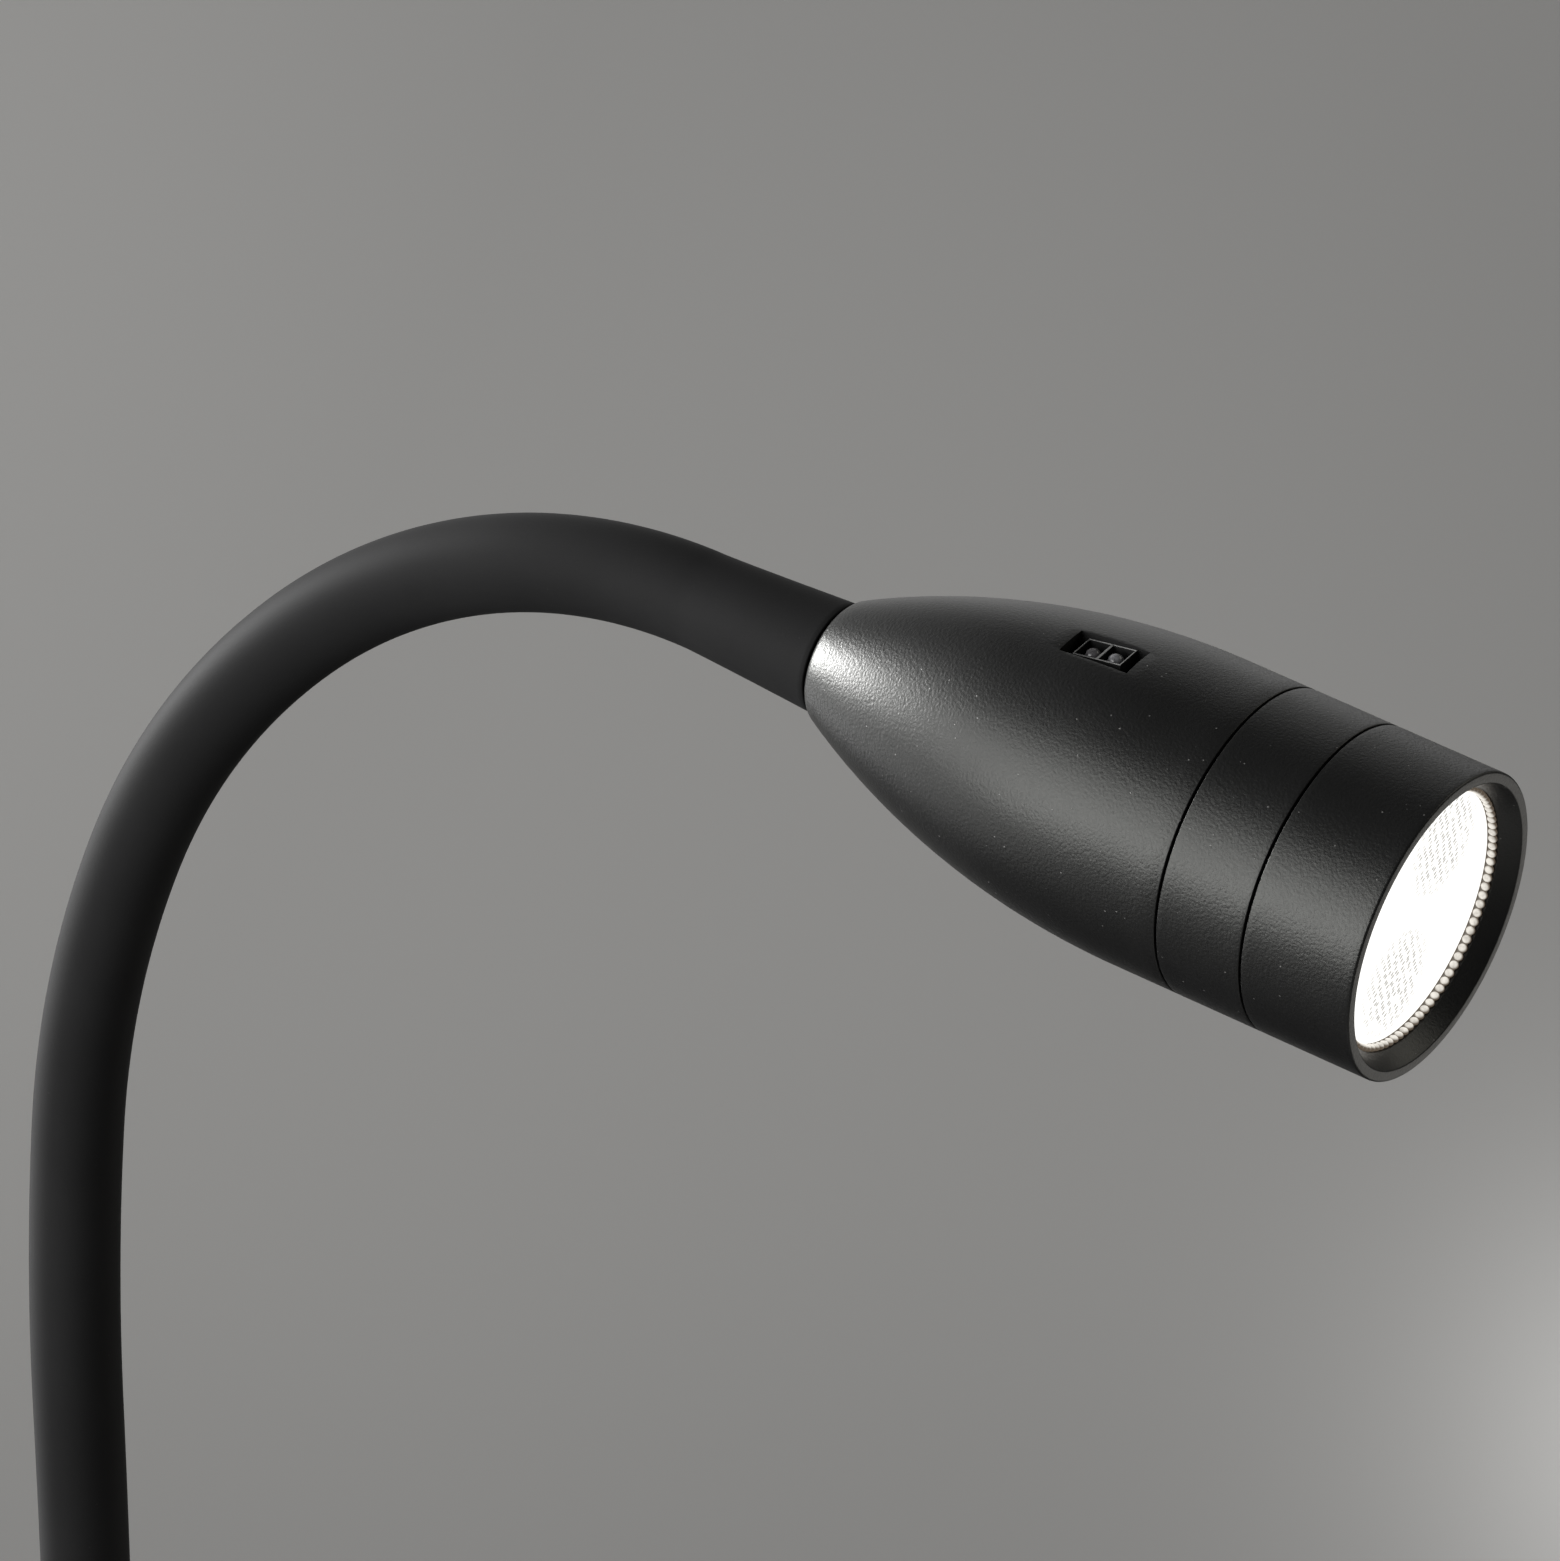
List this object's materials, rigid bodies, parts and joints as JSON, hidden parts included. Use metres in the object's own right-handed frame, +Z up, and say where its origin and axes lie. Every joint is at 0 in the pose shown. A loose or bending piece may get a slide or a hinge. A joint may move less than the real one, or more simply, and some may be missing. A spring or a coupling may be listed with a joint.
{
  "type": "wall light",
  "caption": "Black reading wall light: round wall canopy, sleeved flexible arm and a bullet-shaped head with a recessed lens and a touchless switch window.",
  "frame": {"origin": "centre of the wall plate's back face, on the wall", "axes": "+Y into the wall, -Y out into the room, +Z up, +X to the right as seen from the room"},
  "size_m": [0.2397, 0.3216, 0.2668],
  "materials": {
    "satin_black": "satin",
    "sleeve_rubber": "matte",
    "core_steel": "satin",
    "lead_jacket": "matte",
    "plate_steel": "zinc",
    "dark_screw": "blackened",
    "brass_nut": "plain",
    "ferrule_metal": "turned",
    "white_plastic": "matte",
    "board_green": "solder mask",
    "wire_red": "matte",
    "pad_grey": "matte",
    "board_white": "white mask",
    "phosphor": "gloss",
    "small_screw": "bright",
    "black_plastic": "matte",
    "lens_clear": "clear",
    "seal_black": "matte",
    "dome_clear": "clear",
    "dome_dark": "dark filter"
  },
  "bodies": {
    "wall_side": {"wall_plate": "plate_steel", "canopy": "satin_black", "canopy_screws": "dark_screw", "terminal_block": "white_plastic", "terminal_screws": "brass_nut", "driver_case": "white_plastic", "driver_board": "board_green", "driver_cover": "white_plastic", "mains_wires": "wire_red", "arm_collar": "satin_black", "collar_washer": "plate_steel", "collar_nut": "brass_nut", "collar_screw": "dark_screw", "sleeve_base": "sleeve_rubber", "core_base": "core_steel", "lead_base": "lead_jacket"},
    "arm_link_1": {"sleeve_1": "sleeve_rubber", "core_1": "core_steel", "lead_1": "lead_jacket"},
    "arm_link_2": {"sleeve_2": "sleeve_rubber", "core_2": "core_steel", "lead_2": "lead_jacket"},
    "arm_link_3": {"sleeve_3": "sleeve_rubber", "core_3": "core_steel", "lead_3": "lead_jacket"},
    "arm_link_4": {"sleeve_4": "sleeve_rubber", "core_4": "core_steel", "lead_4": "lead_jacket"},
    "arm_link_5": {"sleeve_5": "sleeve_rubber", "core_5": "core_steel", "lead_5": "lead_jacket"},
    "arm_link_6": {"sleeve_6": "sleeve_rubber", "core_6": "core_steel", "lead_6": "lead_jacket"},
    "arm_link_7": {"sleeve_7": "sleeve_rubber", "core_7": "core_steel", "lead_7": "lead_jacket"},
    "head": {"sleeve_head": "sleeve_rubber", "sleeve_flare": "sleeve_rubber", "core_head": "core_steel", "lead_head": "lead_jacket", "lead_tail": "lead_jacket", "neck_ferrule": "ferrule_metal", "neck_nut": "brass_nut", "head_shell": "satin_black", "mid_ring": "satin_black", "front_ring": "satin_black", "heat_sink": "ferrule_metal", "thermal_pad": "pad_grey", "led_board": "board_white", "led_emitter": "phosphor", "led_screws": "small_screw", "lens_holder": "black_plastic", "lens": "lens_clear", "lens_seal": "seal_black", "control_board": "board_green", "sensor_body": "black_plastic", "sensor_emitter": "dome_clear", "sensor_receiver": "dome_dark", "led_wires": "wire_red"}
  },
  "joints": [
    {"name": "arm_nod_1", "type": "hinge", "parent": "wall_side", "child": "arm_link_1", "pos_m": [0.0002, -0.06426, 0.00282], "axis": [0.9998, 0.0175, -0.0022], "range_deg": [-15, 40], "deforming": ["sleeve_base", "sleeve_1"]},
    {"name": "arm_swing_2", "type": "hinge", "parent": "arm_link_1", "child": "arm_link_2", "pos_m": [0.00145, -0.10394, 0.02322], "axis": [-0.0146, 0.6416, 0.7669], "range_deg": [-40, 40], "deforming": ["sleeve_2"]},
    {"name": "arm_nod_3", "type": "hinge", "parent": "arm_link_2", "child": "arm_link_3", "pos_m": [0.00312, -0.13334, 0.057], "axis": [0.999, 0.0416, -0.0169], "range_deg": [-29, 40], "deforming": ["sleeve_3"]},
    {"name": "arm_swing_4", "type": "hinge", "parent": "arm_link_3", "child": "arm_link_4", "pos_m": [0.00404, -0.15437, 0.09673], "axis": [0.0292, -0.9149, -0.4025], "range_deg": [-40, 40], "deforming": ["sleeve_4"]},
    {"name": "arm_nod_5", "type": "hinge", "parent": "arm_link_4", "child": "arm_link_5", "pos_m": [0.00617, -0.17256, 0.13781], "axis": [-0.9954, -0.0635, 0.0713], "range_deg": [-39, 40], "deforming": ["sleeve_5"]},
    {"name": "arm_swing_6", "type": "hinge", "parent": "arm_link_5", "child": "arm_link_6", "pos_m": [0.01653, -0.19256, 0.17657], "axis": [-0.0014, 0.8588, 0.5123], "range_deg": [-40, 22], "deforming": ["sleeve_6"]},
    {"name": "arm_nod_7", "type": "hinge", "parent": "arm_link_6", "child": "arm_link_7", "pos_m": [0.0412, -0.2157, 0.20556], "axis": [-0.6941, -0.4104, 0.5914], "range_deg": [-25, 40], "deforming": ["sleeve_7"]},
    {"name": "arm_swing_8", "type": "hinge", "parent": "arm_link_7", "child": "head", "pos_m": [0.07722, -0.24018, 0.21405], "axis": [-0.4189, -0.5407, -0.7295], "range_deg": [-18, 40], "deforming": ["sleeve_head"]}
  ]
}
